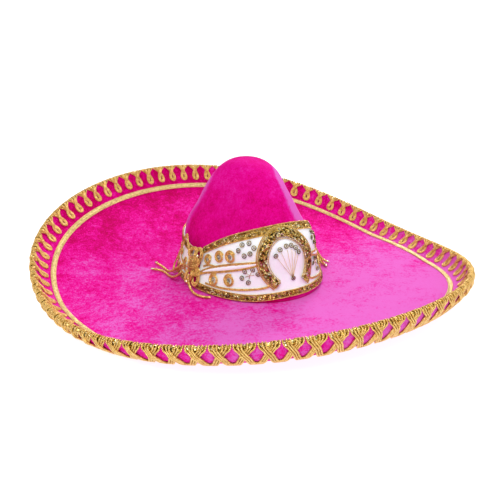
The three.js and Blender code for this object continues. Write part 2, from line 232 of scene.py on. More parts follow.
# The same velvet underneath, painted darker overall as painted shade under the brim and at its edge.
UNDER_VELVET = velvet(
    "under_velvet", level=0.45, lean=(0.3, -1.2, 0.0), blotchy=1.0, sheen=0.08, grazing=0.35
)
# The crown is painted lighter towards +x, the front and the top as painted light, and two painted sheen bands
# lighten its sides where they face the given directions.
CROWN_VELVET = velvet(
    "crown_velvet", level=0.28, lean=(0.8, -0.4, 0.6), blotchy=0.5, sheen=0.9, grazing=0.16,
    painted_sheen_bands=(((0.84, -0.54, 0.45), 0.9, 0.75), ((-0.82, 0.53, 0.3), 0.95, 0.6)),
)
CORD_GOLD = metallic_thread(
    "cord_gold", rgb(252, 208, 112), rgb(122, 74, 14), pitch=2.2, roughness=0.26, metal=0.75
)
RIM_GOLD = metallic_thread(
    "rim_gold", rgb(240, 190, 96), rgb(150, 92, 26), pitch=1.8, roughness=0.32, metal=0.6
)
BRAID_GOLD = metallic_thread(
    "braid_gold", rgb(252, 228, 160), rgb(176, 124, 48), pitch=1.6, roughness=0.34, metal=0.6
)
# The white satin glows faintly of itself: painted light that keeps it white and cool against the pink light
# bounced off the velvet.
SATIN = woven(
    "white_satin", rgb(240, 248, 248), rgb(252, 255, 255), 900,
    Roughness=0.36, Specular_IOR_Level=0.55, Sheen_Weight=0.25, Anisotropic=0.5,
    Emission_Color=rgb(226, 242, 255), Emission_Strength=0.14,
)
LINING = woven(
    "lining_satin", rgb(226, 218, 212), rgb(246, 241, 236), 900,
    Roughness=0.42, Specular_IOR_Level=0.5, Sheen_Weight=0.2, Anisotropic=0.4,
)
BUCKRAM = woven("buckram", rgb(196, 180, 142), rgb(222, 208, 172), 700, Roughness=0.9)
FELT = woven("felt", rgb(128, 106, 78), rgb(150, 128, 96), 300, Roughness=0.95)


def glitter(name, scale, tilt, roughness, *tones):
    """Foil in small flat facets, scale of them to the metre, each tipped its own way and in its own tone."""
    s = Shader(name, Metallic=1.0, Roughness=roughness)
    cells = s.cells(scale)
    lean = s.vector("SCALE", s.vector("SUBTRACT", cells, (0.5, 0.5, 0.5)), tilt, second="Scale")
    flat = s.node("ShaderNodeNewGeometry").outputs["Normal"]
    tipped = s.vector("NORMALIZE", s.vector("ADD", flat, lean), (0, 0, 0))
    step = 1 / (len(tones) - 1)
    colour = s.colours(s.first(cells), *((i * step, tone) for i, tone in enumerate(tones)))
    fine = s.noise(1300, 2)
    return s.set(
        Base_Color=colour,
        Roughness=s.remap(fine, 0.3, 0.7, roughness - 0.05, roughness + 0.08),
        Normal=s.bump(fine, 0.0001, 0.3, tipped),
    )


SEQUIN_GOLD = glitter(
    "sequin_gold", 420, 1.0, 0.18, rgb(58, 42, 10), rgb(200, 160, 72), rgb(244, 218, 132), rgb(255, 252, 222)
)
FOIL_GOLD = glitter(
    "foil_gold", 520, 1.3, 0.18, rgb(96, 70, 16), rgb(214, 176, 78), rgb(240, 216, 130), rgb(255, 250, 214)
)
SEQUIN_BRIGHT = glitter(
    "sequin_bright", 300, 0.5, 0.14, rgb(186, 160, 100), rgb(236, 222, 180), rgb(255, 250, 236)
)
RING_GOLD = glitter("ring_gold", 500, 0.8, 0.22, rgb(58, 46, 20), rgb(122, 98, 44), rgb(196, 170, 100))


def pearl_material():
    s = Shader("clear_sequin", Roughness=0.12, Specular_IOR_Level=0.8, Coat_Weight=0.6, Coat_Roughness=0.05)
    level = s.first(s.cells(300))
    colour = s.colours(level, (0.0, rgb(190, 186, 170)), (0.6, rgb(236, 238, 232)), (1.0, rgb(252, 255, 252)))
    return s.set(Base_Color=colour, Normal=s.bump(s.noise(600, 2), 0.0002, 0.3))


def leather_material():
    s = Shader("sweatband_leather", Roughness=0.5, Specular_IOR_Level=0.4)
    colour = s.colours(s.noise(50, 4), (0.3, rgb(48, 30, 22)), (0.7, rgb(74, 48, 34)))
    rough = s.remap(s.noise(120, 3), 0.3, 0.7, 0.42, 0.62)
    return s.set(Base_Color=colour, Roughness=rough, Normal=s.bump(s.cells(900, "Distance"), 0.0002, 0.4))


def steel_material():
    s = Shader("edge_wire_steel", Metallic=1.0, Roughness=0.35)
    fine = s.noise(700, 3)
    colour = s.colours(fine, (0.3, rgb(120, 120, 122)), (0.7, rgb(176, 176, 178)))
    return s.set(Base_Color=colour, Normal=s.bump(fine, 0.0001, 0.3))


PEARL, LEATHER, STEEL = pearl_material(), leather_material(), steel_material()

# ---- The two surfaces, as in the CAD, in millimetres ----
HEAD_R, OVAL_X, OVAL_Y = 94.0, 0.925, 1.155
CROWN_H, CROWN_TAPER, CROWN_DOME = 156.0, 1.02, 0.37
# Where the crown leaves its plain shape: share of its radius, height and spread, then, for the dents at its
# sides, angle off the brow and width.
SWELL = (0.083, 66.0, 22.0)
PINCH, PINCH_FOOT = (0.205, 94.0, 57.0, 78.0, 32.0), 12.0
DENT = (0.05, 125.0, 20.0, 45.0, 26.0)
RIM_X, RIM_Y, RIM_SQUARE = 281.0, 286.0, 0.02
RIM_RISE = (36.6, -17.1, 25.2, -3.6, -2.3)  # the rim's height: its mean, and its waves round the brim
FLAT_TO, SWEEP, CURL_FROM, CURL, CURL_TIGHT = 0.12, 1.15, 0.76, 19.0, 0.9
SAG, STAND = 10.0, 8.0  # the sides of the brim dip below the crown's foot, and carry the hat
BROW_FROM, BROW_CURL, BROW_TIGHT = 0.12, 7.0, 0.03  # the curl is later, taller and steeper towards the brow
TUCK, BRIM_TOP = -0.02, 5.1
VELVET = 1.0  # how thick the velvet is


def arrays(*values):
    """The values as arrays of numbers, all of one shape."""
    return np.broadcast_arrays(*(np.asarray(value, float) for value in values))


def points(x, y, z):
    return np.stack(np.broadcast_arrays(x, y, z), -1).astype(float)


def oval(phi, r, z):
    return points(r * OVAL_X * np.sin(phi), -r * OVAL_Y * np.cos(phi), z)


def bell(x, at, spread):
    """A smooth hump, 1 at its middle."""
    return np.exp(-(((x - at) / spread) ** 2))


def crown_radius(phi, z):
    t = np.clip(z / CROWN_H, 0, 1)
    off = np.degrees(np.abs(np.arctan2(np.sin(phi), np.cos(phi))))
    swell = SWELL[0] * bell(z, *SWELL[1:])
    pinch = PINCH[0] * bell(z, *PINCH[1:3]) * bell(off, *PINCH[3:])
    pinch = pinch * (1 - np.exp(-np.maximum(z, 0) / PINCH_FOOT))
    dent = DENT[0] * bell(z, *DENT[1:3]) * bell(off, *DENT[3:])
    return HEAD_R * (1 - t**CROWN_TAPER) ** CROWN_DOME * (1 + swell - pinch - dent)


def crown_skin(phi, z):
    return oval(phi, crown_radius(phi, z), BRIM_TOP + z)


def unit(v):
    """Vectors drawn to a length of 1."""
    return v / np.maximum(np.linalg.norm(v, axis=-1, keepdims=True), 1e-12)


def crown_normal(phi, z):
    h = 0.002
    low = np.clip(z, 0.4, CROWN_H - 0.1)
    round_ = crown_skin(phi + h, low) - crown_skin(phi - h, low)
    normal = unit(np.cross(round_, crown_skin(phi, low + h) - crown_skin(phi, low - h)))
    normal[..., 2] *= np.minimum(1, np.maximum(z, 0) / 12)
    return normal


def on_crown(phi, z, d):
    """Points d off the crown's velvet, z above the brim."""
    phi, z, d = arrays(phi, z, d)
    return crown_skin(phi, z) + crown_normal(phi, z) * d[..., None]


def rim_point(phi):
    r = (1 - RIM_SQUARE * np.cos(4 * phi)) / np.hypot(np.cos(phi) / RIM_Y, np.sin(phi) / RIM_X)
    z = sum(rise * np.cos(waves * phi) for waves, rise in enumerate(RIM_RISE))
    return points(r * np.sin(phi), -r * np.cos(phi), z)


def lip(x, tight):
    """How far a curl has risen, x of the way along it."""
    return 1 - np.sqrt(1 - tight**2 * x * x)


def brim_skin(s, phi):
    """The brim's underside, s running from the crown (0) to the rim (1)."""
    s, phi = arrays(s, phi)
    rim = rim_point(phi)
    p = oval(phi, HEAD_R, 0.0) * (1 - s)[..., None] + rim * s[..., None]
    share = lambda start: np.clip((s - start) / (1 - start), 0, 1)
    brow = (1 + np.cos(phi)) / 2
    tight = CURL_TIGHT + BROW_TIGHT * brow
    curl = np.minimum(CURL + BROW_CURL * brow, rim[..., 2] + SAG)
    sweep = (rim[..., 2] - curl) * share(FLAT_TO) ** SWEEP
    p[..., 2] = sweep + curl * lip(share(CURL_FROM + BROW_FROM * brow), tight) / lip(1.0, tight)
    return p


def brim_frame(s, phi):
    """At a point of the brim: the directions outwards, round towards the wearer's left, and up off it."""
    h = 1e-4
    at = np.clip(s, 2 * h, 1 - h)
    out = unit(brim_skin(at + h, phi) - brim_skin(at - h, phi))
    round_ = unit(brim_skin(at, phi + h) - brim_skin(at, phi - h))
    return out, round_, unit(np.cross(out, round_))


def on_brim(s, phi, n):
    """Points n above the brim's underside."""
    s, phi, n = arrays(s, phi, n)
    return brim_skin(s, phi) + brim_frame(s, phi)[2] * n[..., None]


EDGE_R = BRIM_TOP / 2  # the brim's rounded edge
EDGE_ARC = EDGE_R * math.pi / 2


def round_rim(arc, phi, lift):
    """Points lift off the velvet, arc along it from the brim's very edge: inwards over the top is negative,
    inwards underneath is positive. Returns the points and the surface's normals there."""
    arc, phi, lift = arrays(arc, phi, lift)
    reach = np.maximum(np.abs(arc) - EDGE_ARC, 0)
    s = 1 - reach / 190
    for _ in range(4):
        mid = (1 + s) / 2
        speed = np.linalg.norm(brim_skin(mid + 1e-3, phi) - brim_skin(mid - 1e-3, phi), axis=-1)
        s = 1 - reach / (speed / 2e-3)
    out, _, up = brim_frame(s, phi)
    turn = np.clip(arc / EDGE_R, -math.pi / 2, math.pi / 2)
    normal = out * np.cos(turn)[..., None] - up * np.sin(turn)[..., None]
    middle = brim_skin(s, phi) + up * EDGE_R
    return middle + normal * (EDGE_R + lift)[..., None], normal


# ---- Mesh making ----
def piece(name, vertices, faces, material, stands_for=(), slot=None, uv=None, triangles=()):
    """A mesh piece of the hat, from points in millimetres."""
    mesh = bpy.data.meshes.new(name)
    vertices = (np.asarray(vertices, float).reshape(-1, 3) + [0, 0, STAND]) * MM
    mesh.from_pydata(vertices.tolist(), [], [*faces.tolist(), *triangles])
    mesh.polygons.foreach_set("use_smooth", np.ones(len(mesh.polygons), bool))
    if uv is not None:
        mesh.uv_layers.new(name="UVMap").data.foreach_set("uv", uv[faces.ravel()].ravel())
    mesh.validate()
    mesh.materials.append(material)
    made = put(name, mesh)
    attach(made, "root")
    if stands_for:
        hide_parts(stands_for)
    return made


def grid_faces(rows, columns, wrap_rows=False, wrap_columns=False, start=0):
    """Quads over rows x columns of points."""
    i = np.arange(rows if wrap_rows else rows - 1)[:, None]
    j = np.arange(columns if wrap_columns else columns - 1)[None, :]
    a, b = i * columns, (i + 1) % rows * columns
    k = (j + 1) % columns
    return start + np.stack([a + j, b + j, b + k, a + k], -1).reshape(-1, 4)


def ring_piece(name, grid, material, slot):
    """A piece whose grid of points closes both ways."""
    faces = grid_faces(*grid.shape[:2], wrap_rows=True, wrap_columns=True)
    return piece(name, grid, faces, material, stands_for=name, slot=slot)


class Parts:
    """Collects many small bodies into one mesh."""

    def __init__(self):
        self.vertices, self.faces, self.uvs, self.count = [], [], [], 0

    def grid(self, grid, wrap_rows=False, wrap_columns=False, uv=None):
        rows, columns = grid.shape[:2]
        self.faces.append(grid_faces(rows, columns, wrap_rows, wrap_columns, self.count))
        self.vertices.append(grid.reshape(-1, 3))
        self.uvs.append(np.zeros((rows * columns, 2)) if uv is None else uv.reshape(-1, 2))
        self.count += rows * columns

    def slab(self, front, back, flip):
        """A slab between two grids of points, closed at its ends. flip turns the ends' faces over."""
        self.grid(np.concatenate([front, back[::-1]]), wrap_rows=True)
        for column in (0, -1):
            end = np.stack([front[:, column], back[:, column]], 1)
            self.grid(end[:, ::-1] if (column == 0) == flip else end)

    def make(self, name, material, **more):
        vertices, faces, uv = (np.concatenate(v) for v in (self.vertices, self.faces, self.uvs))
        return piece(name, vertices, faces, material, uv=uv, **more)


def lengths(path):
    """Length along the path at each of its points."""
    steps = np.linalg.norm(np.diff(path, axis=0), axis=1)
    return np.concatenate([[0], np.cumsum(steps)])


def directions(path, normals, closed=False):
    """At each point of a path: along it, across it, and up off the surface that it lies on."""
    step = np.roll(path, -1, 0) - np.roll(path, 1, 0) if closed else np.gradient(path, axis=0)
    tangent = unit(step)
    across = unit(np.cross(tangent, normals))
    return tangent, across, np.cross(across, tangent)


def tube(parts, path, normals, radius, sides=6, closed=False):
    """A cord along a path of points. normals point off the surface that it lies on. radius may vary."""
    tangent, across, up = directions(path, normals, closed)
    radius = np.broadcast_to(np.asarray(radius, float), (len(path),))
    along = lengths(path)
    if not closed:
        # Domed ends: each end ring again, smaller and further out, and then almost a point.
        first, last = radius[0], radius[-1]
        before = path[0] - tangent[0] * first * np.array([[0.772], [0.24]])
        after = path[-1] + tangent[-1] * last * np.array([[0.24], [0.772]])
        path = np.concatenate([before, path, after])
        radius = np.concatenate([[0.05 * radius[1], 0.7 * first], radius, [0.7 * last, 0.035 * last]])
        across, up, along = (np.concatenate([v[[0, 0]], v, v[[-1, -1]]]) for v in (across, up, along))
    turn = np.arange(sides) / sides * TAU
    round_ = across[:, None] * np.cos(turn)[:, None] + up[:, None] * np.sin(turn)[:, None]
    uv = np.stack(np.broadcast_arrays(along[:, None], (turn / TAU)[None]), -1)
    parts.grid(path[:, None] + round_ * radius[:, None, None], closed, True, uv)


def fitted(path, pitch):
    """The pitch nearest to this one that repeats a whole number of times round a closed path."""
    total = lengths(np.vstack([path, path[:1]]))[-1]
    return total / max(1, round(total / pitch))


def rope(parts, path, normals, radius, pitch, plies=2, sides=5, closed=False):
    """A twisted rope of that outside radius and pitch."""
    _, across, up = directions(path, normals, closed)
    if closed:
        pitch = fitted(path, pitch)
    ply = radius * (0.52 if plies == 2 else 0.46)
    for k in range(plies):
        turn = TAU * (lengths(path) / pitch + k / plies)[:, None]
        centre = path + (across * np.cos(turn) + up * np.sin(turn)) * (radius - ply)
        tube(parts, centre, normals, ply, sides, closed)


def evenly(rows, step, least, extra):
    """Rows that start with a point, spaced evenly, about step apart along the line of the points."""
    along = lengths(rows[:, :3])
    at = np.linspace(0, along[-1], max(least, int(along[-1] / step + extra)))
    return np.stack([np.interp(at, along, row) for row in rows.T], -1)


def resample(line, normals, step):
    """Points and their normals, spaced evenly."""
    rows = evenly(np.hstack([line, normals]), step, 3, 0)
    return rows[:, :3], unit(rows[:, 3:])


def smooth_line(control, steps=8):
    """A centripetal Catmull-Rom curve through the control points, as three.js draws it."""
    p = np.asarray(control, float)
    p = np.vstack([2 * p[0] - p[1], p, 2 * p[-1] - p[-2]])
    t = (np.arange(steps) / steps)[:, None]
    out = []
    for a, b, c, d in zip(p, p[1:], p[2:], p[3:]):
        gaps = [max(np.linalg.norm(v), 1e-9) ** 0.5 for v in (b - a, c - b, d - c)]
        m1 = ((b - a) / gaps[0] - (c - a) / (gaps[0] + gaps[1]) + (c - b) / gaps[1]) * gaps[1]
        m2 = ((c - b) / gaps[1] - (d - b) / (gaps[1] + gaps[2]) + (d - c) / gaps[2]) * gaps[1]
        towards_c = 3 * t**2 - 2 * t**3
        out.append(b * (1 - towards_c) + m1 * (t**3 - 2 * t**2 + t) + c * towards_c + m2 * (t**3 - t**2))
    return np.concatenate([*out, p[-2:-1]])


# ---- Loose cords of the side knots, made first ----
TAIL_R = 1.7
LOOP = [
    [96.3, -8.5, 20.5], [98.6, -12, 14.5], [100, -16.5, 9.3], [100.6, -22, 5.4], [100.4, -28, 3.2],
    [99.5, -34, 2.3], [97.8, -39.5, 2.1], [95.4, -44.3, 2.1], [92.4, -48.2, 2.2], [89.2, -50.8, 2.6],
]
# Side, name, length in metres, and points [distance out, distance back, height above the brim].
CORD_ROUTES = [
    ("right", "upper_tail", 0.084, [
        [92.5, 12.5, 27], [94.2, 18, 22.6], [95, 25, 17.6], [95.1, 32, 13], [94.7, 39.5, 8.9],
        [94, 47, 5.8], [93, 54, 3.7], [92, 60.5, 2.6], [91.2, 67.5, 2.4], [91, 74.5, 2.7],
        [91.4, 81.5, 3.1], [92.6, 89.5, 3.8],
    ]),
    ("right", "lower_tail", 0.0725, [
        [96, 8.5, 18.5], [97.6, 13, 14], [98.6, 18.5, 9.6], [99, 25, 6.1], [98.9, 31.5, 3.8],
        [98.5, 39, 2.5], [97.8, 46, 2.2], [97.2, 52.5, 2.2], [97.7, 58.5, 2.4], [99.8, 64, 2.6],
        [103, 68.6, 2.9], [107.3, 72.3, 3.3],
    ]),
    ("right", "loop", 0.054, LOOP),
    ("left", "upper_tail", 0.0365, [
        [93, -10, 26], [95.5, -12.2, 22], [97.8, -15, 17.2], [99.9, -18.3, 12.3], [101.8, -21.8, 8.4],
        [103.5, -25.4, 5.6], [105.1, -29.1, 4], [106.8, -32.9, 3.4],
    ]),
    ("left", "lower_tail", 0.0405, [
        [96.3, -7.5, 18], [98.7, -10.6, 13.2], [100.4, -14.8, 8.7], [101.1, -19.8, 5.3], [101, -25, 3.3],
        [100.2, -30.2, 2.5], [99, -35.4, 2.2], [97.6, -40.6, 2.3],
    ]),
    ("left", "loop", 0.054, [[out, -back, z] for out, back, z in LOOP]),
]


def loose_cord(side, name, length, route):
    """Three plies of gold thread twisted into one cord, whipped at its cut end."""
    hand = 1 if side == "left" else -1
    control = np.array([[hand * out, back, BRIM_TOP + z] for out, back, z in route])
    line = evenly(smooth_line(control), 0.9, 2, 1.5)
    up = np.array([0.0, 0.0, 1.0])
    parts = Parts()
    rope(parts, line, up, TAIL_R, 7.0, plies=3, sides=6)
    made = parts.make(f"{side}_{name}", CORD_GOLD, stands_for=f"{side}_{name}", slot="gold_cord")
    if name != "loop":
        tip = Parts()
        bead = line[-1] + unit(line[-1] - line[-4]) * np.linspace(-2.4, 1.6, 9)[:, None]
        swell = TAIL_R * np.array([0.9, 1.1, 1.16, 1.1, 1.16, 1.1, 1.12, 0.95, 0.5])
        tube(tip, bead, up, swell, 10)
        tip.make(f"{side}_{name}_tip", SEQUIN_BRIGHT, slot="gold_sequin")
    line = (line + [0, 0, STAND]) * MM


for facts in CORD_ROUTES:
    loose_cord(*facts)

# ---- Brim ----
AROUND = 288
PHI = np.arange(AROUND) / AROUND * TAU
RIM_LENGTH = 1800.0  # roughly


def brim_block(start, end, low, high, steps):
    """A closed ring of the brim, between two shares of the way to the rim and two heights."""
    s = np.linspace(start, end, steps)
    heights = np.repeat([low, high], steps)
    return on_brim(np.concatenate([s, s[::-1]])[None], PHI[:, None], heights[None])


def ripple(s, phi):
    """The velvet is glued over felt, so its surface is very slightly uneven."""
    calm = np.clip((s - 0.03) / 0.1, 0, 1)
    wave = np.sin(5 * phi + 9 * s) * np.sin(17 * s + 3 * phi) + 0.5 * np.sin(13 * phi - 21 * s)
    return 0.16 * wave * calm


BOARD_TO, BOARD_LOW, BOARD_HIGH = 0.978, 1.3, 3.8
ring_piece("brim_board", brim_block(TUCK, BOARD_TO, BOARD_LOW, BOARD_HIGH, 26), FELT, "board")


def brim_velvet(name, sign, material, inner, steps):
    """A velvet skin from the crown out to the brim's edge, and round it to halfway. inner is its inner side's
    height, and sign is 1 for the top skin, -1 for the one underneath."""
    s, phi = np.linspace(TUCK, 1, steps)[None], PHI[:, None]
    outer_side = on_brim(s, phi, inner + sign * VELVET)
    if sign > 0:
        outer_side = outer_side + brim_frame(s, phi)[2] * ripple(s, phi)[..., None]
    out, _, up = brim_frame(np.ones(AROUND), PHI)
    middle = brim_skin(np.ones(AROUND), PHI) + up * EDGE_R
    turn = (np.linspace(0, 0.94, 7)[1:] * math.pi / 2)[None, :, None]
    outwards = sign * up[:, None] * np.cos(turn) + out[:, None] * np.sin(turn)
    outer_edge, inner_edge = (middle[:, None] + outwards * radius for radius in (EDGE_R, EDGE_R - VELVET))
    ring = np.concatenate([outer_side, outer_edge, inner_edge[:, ::-1], on_brim(s, phi, inner)[:, ::-1]], 1)
    return ring_piece(name, ring[:, ::-sign], material, "velvet")


top_velvet = brim_velvet("brim_top_velvet", 1, BRIM_VELVET, BRIM_TOP - VELVET, 64)
under_velvet = brim_velvet("brim_under_velvet", -1, UNDER_VELVET, VELVET, 40)


def ring_line(s, n, step):
    """A closed line round the brim, with its normals."""
    count = int(RIM_LENGTH / step)
    phi = np.arange(count) / count * TAU
    return on_brim(s, phi, n), brim_frame(np.full(count, s), phi)[2]


WIRE_R = 1.15
wire = Parts()
tube(wire, *ring_line(1 - 1.6 / 185, EDGE_R, 6), WIRE_R, 8, closed=True)
wire.make("brim_edge_wire", STEEL, stands_for="brim_edge_wire", slot="wire")

# ---- Cord border of the rim ----
LOOPS = 78
PITCH = 23.3
TABLE = 0.1 - STAND  # the cord is pressed flat where the hat stands on it
CROWDING = 0.12  # the bights are set closer together at the back than at the brow
# Half a bight of the border, as (mm round the brim, mm in past the edge underneath, or over it if negative).
# It turns under the edge, crosses on the outside, comes up over the rim, crosses again inside and ends at the
# tip of its loop.
BIGHT = [
    (-11.65, 29.2), (-9.4, 28.8), (-6.6, 25.6), (-4.4, 20.8), (-2.4, 15.8), (0.2, 11.0), (3.4, 6.4),
    (6.0, 2.6), (6.5, -0.4), (4.9, -3.2), (2.5, -6.4), (0.6, -9.6), (-1.2, -12.8), (-2.9, -16.6),
    (-3.7, -20.6), (-2.9, -24.2), (0.0, -25.8),
]


def bight_place(index):
    """The angle of a bight's middle, and how much wider it is than the usual pitch."""
    turn = (index + 0.5) / LOOPS * TAU
    phi = turn + CROWDING * math.sin(turn)
    radius = float(np.linalg.norm(rim_point(np.array(phi))[:2]))
    return phi, radius, (1 + CROWDING * math.cos(turn)) * TAU / LOOPS * radius / PITCH


def rim_border():
    half = smooth_line(BIGHT, 4)
    whole = np.vstack([half, half[-2::-1] * [-1, 1]])[:-1]
    order = np.linspace(-1, 1, len(whole) + 1)[:-1]  # negative going in, positive coming out
    along = whole[:, 1]
    tangent = unit(np.gradient(whole, axis=0))
    side = np.stack([-tangent[:, 1], tangent[:, 0]], -1)
    # The three strands fan out over the crest and draw together at each crossing.
    outside = np.clip((along - 1) / 7, 0, 1)
    spread = 1.6 + 2.4 * bell(along, 0.3, 3.6) + 0.8 * outside
    # The leg coming out lies over the one going in at both crossings.
    over = (1.5 * bell(along, -10.4, 4.2) + 2.1 * bell(along, 10.6, 5.4)) * (order > 0)
    radius = 0.94 + 0.32 * outside

    def all_round(shift, lift):
        """The border's line, every bight of it, shifted by a share of the spread, with its normals."""
        rows = []
        across, arc = (whole + side * (spread * shift)[:, None]).T
        for loop in range(LOOPS):
            phi, rim_radius, wide = bight_place(loop)
            rows.append(np.stack([arc, phi + across * wide / rim_radius, lift], -1))
        return round_rim(*np.concatenate(rows).T)

    for name, shift in (("_inner_strand", -1), ("", 0), ("_outer_strand", 1)):
        line, normal = all_round(shift, 0.03 + radius + over)
        radii = np.tile(radius, LOOPS)
        line[:, 2] = np.maximum(line[:, 2], TABLE + radii)
        strand = Parts()
        tube(strand, line, normal, radii, 6, closed=True)
        stands_for = () if name else "rim_cord_trim"
        strand.make(f"rim_cord_trim{name}", RIM_GOLD, stands_for=stands_for, slot="gold_cord")
    corners = [all_round(*corner)[0] for corner in (
        (-1.2, over + 0.15), (-1.2, over + 0.8), (1.2, over + 0.8), (1.2, over + 0.15)
    )]
    for line in corners:
        line[:, 2] = np.maximum(line[:, 2], TABLE)
    backing = Parts()
    backing.grid(np.stack(corners, 1), wrap_rows=True, wrap_columns=True)
    backing.make("rim_cord_backing", FOIL_GOLD, slot="gold_cord")


def rim_fill():
    """Bright foil folded over the crest inside each fan of strands, and a bead in the eye of each loop."""
    foil, beads = Parts(), Parts()
    for loop in range(LOOPS):
        phi, radius, wide = bight_place(loop)
        arc = np.linspace(-8.0, 8.5, 13)
        half = np.interp(arc, [-8, -3, 0, 3, 6, 8.5], [0.8, 4.6, 9.6, 8.6, 4.8, 1.0])
        widths = np.linspace(-1, 1, 11)
        rucks = 0.5 + 0.35 * np.cos(5 * math.pi * widths)
        sheet = [(w, ruck) for w, ruck in zip(widths, rucks)] + [(w, 0.12) for w in widths[::-1]]
        rows = [round_rim(arc, phi + w * half * wide / radius, lift)[0] for w, lift in sheet]
        foil.grid(np.stack(rows), wrap_rows=True)
        centre, normal = round_rim(np.array([-20.8]), np.array([phi]), np.array([0.5]))
        sphere(beads, centre[0], normal[0], 0.95, 8, 5)
    foil.make("rim_crest_foil", FOIL_GOLD, slot="gold_cord")
    beads.make("rim_loop_beads", RING_GOLD, slot="gold_sequin")


def span(normal):
    """Two directions square to a normal and to each other."""
    a = unit(np.cross(normal, [0.3, 0.2, 0.9]))
    return a, np.cross(normal, a)


def sphere(parts, centre, normal, radius, around=8, rings=5):
    """A bead: its poles lie along the normal."""
    a, b = span(normal)
    lat = np.linspace(-0.49 * math.pi, 0.49 * math.pi, rings)[:, None, None]
    lon = (np.arange(around) / around * TAU)[:, None]
    grid = centre + (a * np.cos(lon) + b * np.sin(lon)) * np.cos(lat) * radius + normal * np.sin(lat) * radius
    parts.grid(grid, wrap_columns=True)


rim_border()
rim_fill()


# ---- Flat braid ----
INNER_BRAID = 0.867  # its middle, as a share of the way to the rim


def inner_braid():
    """A flat plait of four strands between two edge cords, on a backing."""
    line, normals = ring_line(INNER_BRAID, BRIM_TOP + 0.35, 1.5)
    _, across, _ = directions(line, normals, True)
    period, half, strand = fitted(line, 5.6), 2.2, 0.72
    parts = Parts()
    for k in range(4):
        turn = TAU * (lengths(line) / period + k / 4)[:, None]
        rise = strand * (0.95 + 0.55 * np.sin(2 * turn + (k % 2) * math.pi))
        tube(parts, line + across * half * np.sin(turn) + normals * rise, normals, strand, 5, True)
    for offset in (-0.0165, 0.0165):
        tube(parts, *ring_line(INNER_BRAID + offset, BRIM_TOP + 0.8, 2.6), 0.62, 5, closed=True)
    backing = brim_block(INNER_BRAID - 0.015, INNER_BRAID + 0.015, BRIM_TOP + 0.15, BRIM_TOP + 0.75, 3)
    parts.grid(backing, wrap_rows=True, wrap_columns=True)
    parts.make("brim_inner_braid", BRAID_GOLD, stands_for="brim_inner_braid", slot="gold_braid")


inner_braid()


# ---- Crown ----
def crown_dome(name, deep, high, material, slot, relief=None, columns=160, rows=54):
    """A layer of the crown, a dome open underneath."""
    phi = np.arange(columns) / columns * TAU
    side, top = np.linspace(0.4 / CROWN_H, 0.9, rows)[:-1], 1 - 0.1 * np.linspace(1, 0.02, 10) ** 1.6
    t = np.concatenate([side, top])
    z = (t * CROWN_H)[:, None]
    outer = high + (relief(phi, z) if relief else 0)
    grid = np.concatenate([on_crown(phi, z, deep)[::-1], on_crown(phi, z, outer)])
    tops = [[0, 0, BRIM_TOP + CROWN_H + d] for d in (deep, high)]
    vertices = np.concatenate([grid.reshape(-1, 3), tops])
    count = len(vertices) - 2
    inner_ring = np.arange(columns)
    outer_ring = inner_ring + count - columns
    caps = []
    for a, b, top in (
        (np.roll(inner_ring, -1), inner_ring, count),
        (outer_ring, np.roll(outer_ring, -1), count + 1),
    ):
        caps += np.stack([a, b, np.full(columns, top)], -1).tolist()
    faces = grid_faces(*grid.shape[:2], wrap_columns=True)[:, ::-1]
    return piece(name, vertices, faces, material, stands_for=name, slot=slot, triangles=caps)


def crown_relief(phi, z):
    """Soft unevenness of velvet stretched over buckram, strongest round the thumb dents."""
    near_top = np.clip((z - 60) / 60, 0, 1) * np.clip((CROWN_H - z) / 20, 0, 1)
    return 0.35 * near_top * np.sin(6 * phi + z / 11) * np.sin(z / 17 + 2 * phi)


crown_velvet = crown_dome("crown_velvet", -1.0, 0.0, CROWN_VELVET, "velvet", crown_relief)
crown_dome("crown_shell", -3.8, -1.4, BUCKRAM, "buckram", columns=96, rows=30)
crown_lining = crown_dome("crown_lining", -4.9, -4.1, LINING, "lining", columns=128, rows=40)


def sweatband():
    phi = np.arange(200) / 200 * TAU
    z = np.concatenate([[-BRIM_TOP, -3, -1.0], np.linspace(0, 43.5, 14)])[:, None]
    below = np.minimum(z, 0)[..., None] * np.array([0, 0, 1.0])
    roll = 0.35 * bell(z, 42, 2.2)
    inside, outside = (on_crown(phi, np.maximum(z, 0), d) + below for d in (-6.8 - roll, -5.2))
    ring_piece("sweatband", np.concatenate([inside, outside[::-1]]), LEATHER, "leather")


sweatband()


def stitches():
    """Thread that sews the sweatband to the brim, and a line of it along the band's top."""
    parts = Parts()
    hump = 0.35 * np.sin(np.linspace(0, math.pi, 5))
    for z, count in ((3.2, 114), (38.5, 142)):
        for i in range(count):
            phi = (i + np.linspace(0.18, 0.82, 5)) / count * TAU
            tube(parts, on_crown(phi, z, -7.15 - hump), -crown_normal(phi, np.full(5, z)), 0.34, 5)
    parts.make("sweatband_stitches", BRAID_GOLD, slot="gold_cord")


stitches()


# ---- Hat band ----
BAND_FOOT, BAND_SIDE_H, BAND_SAG, PANEL_END = 2.0, 43.0, 2.0, 81.0
BRAID_W = 8.0
THREAD_D, CORD_D = 2.9, 3.2  # how far off the crown the threads and the cords on the satin lie


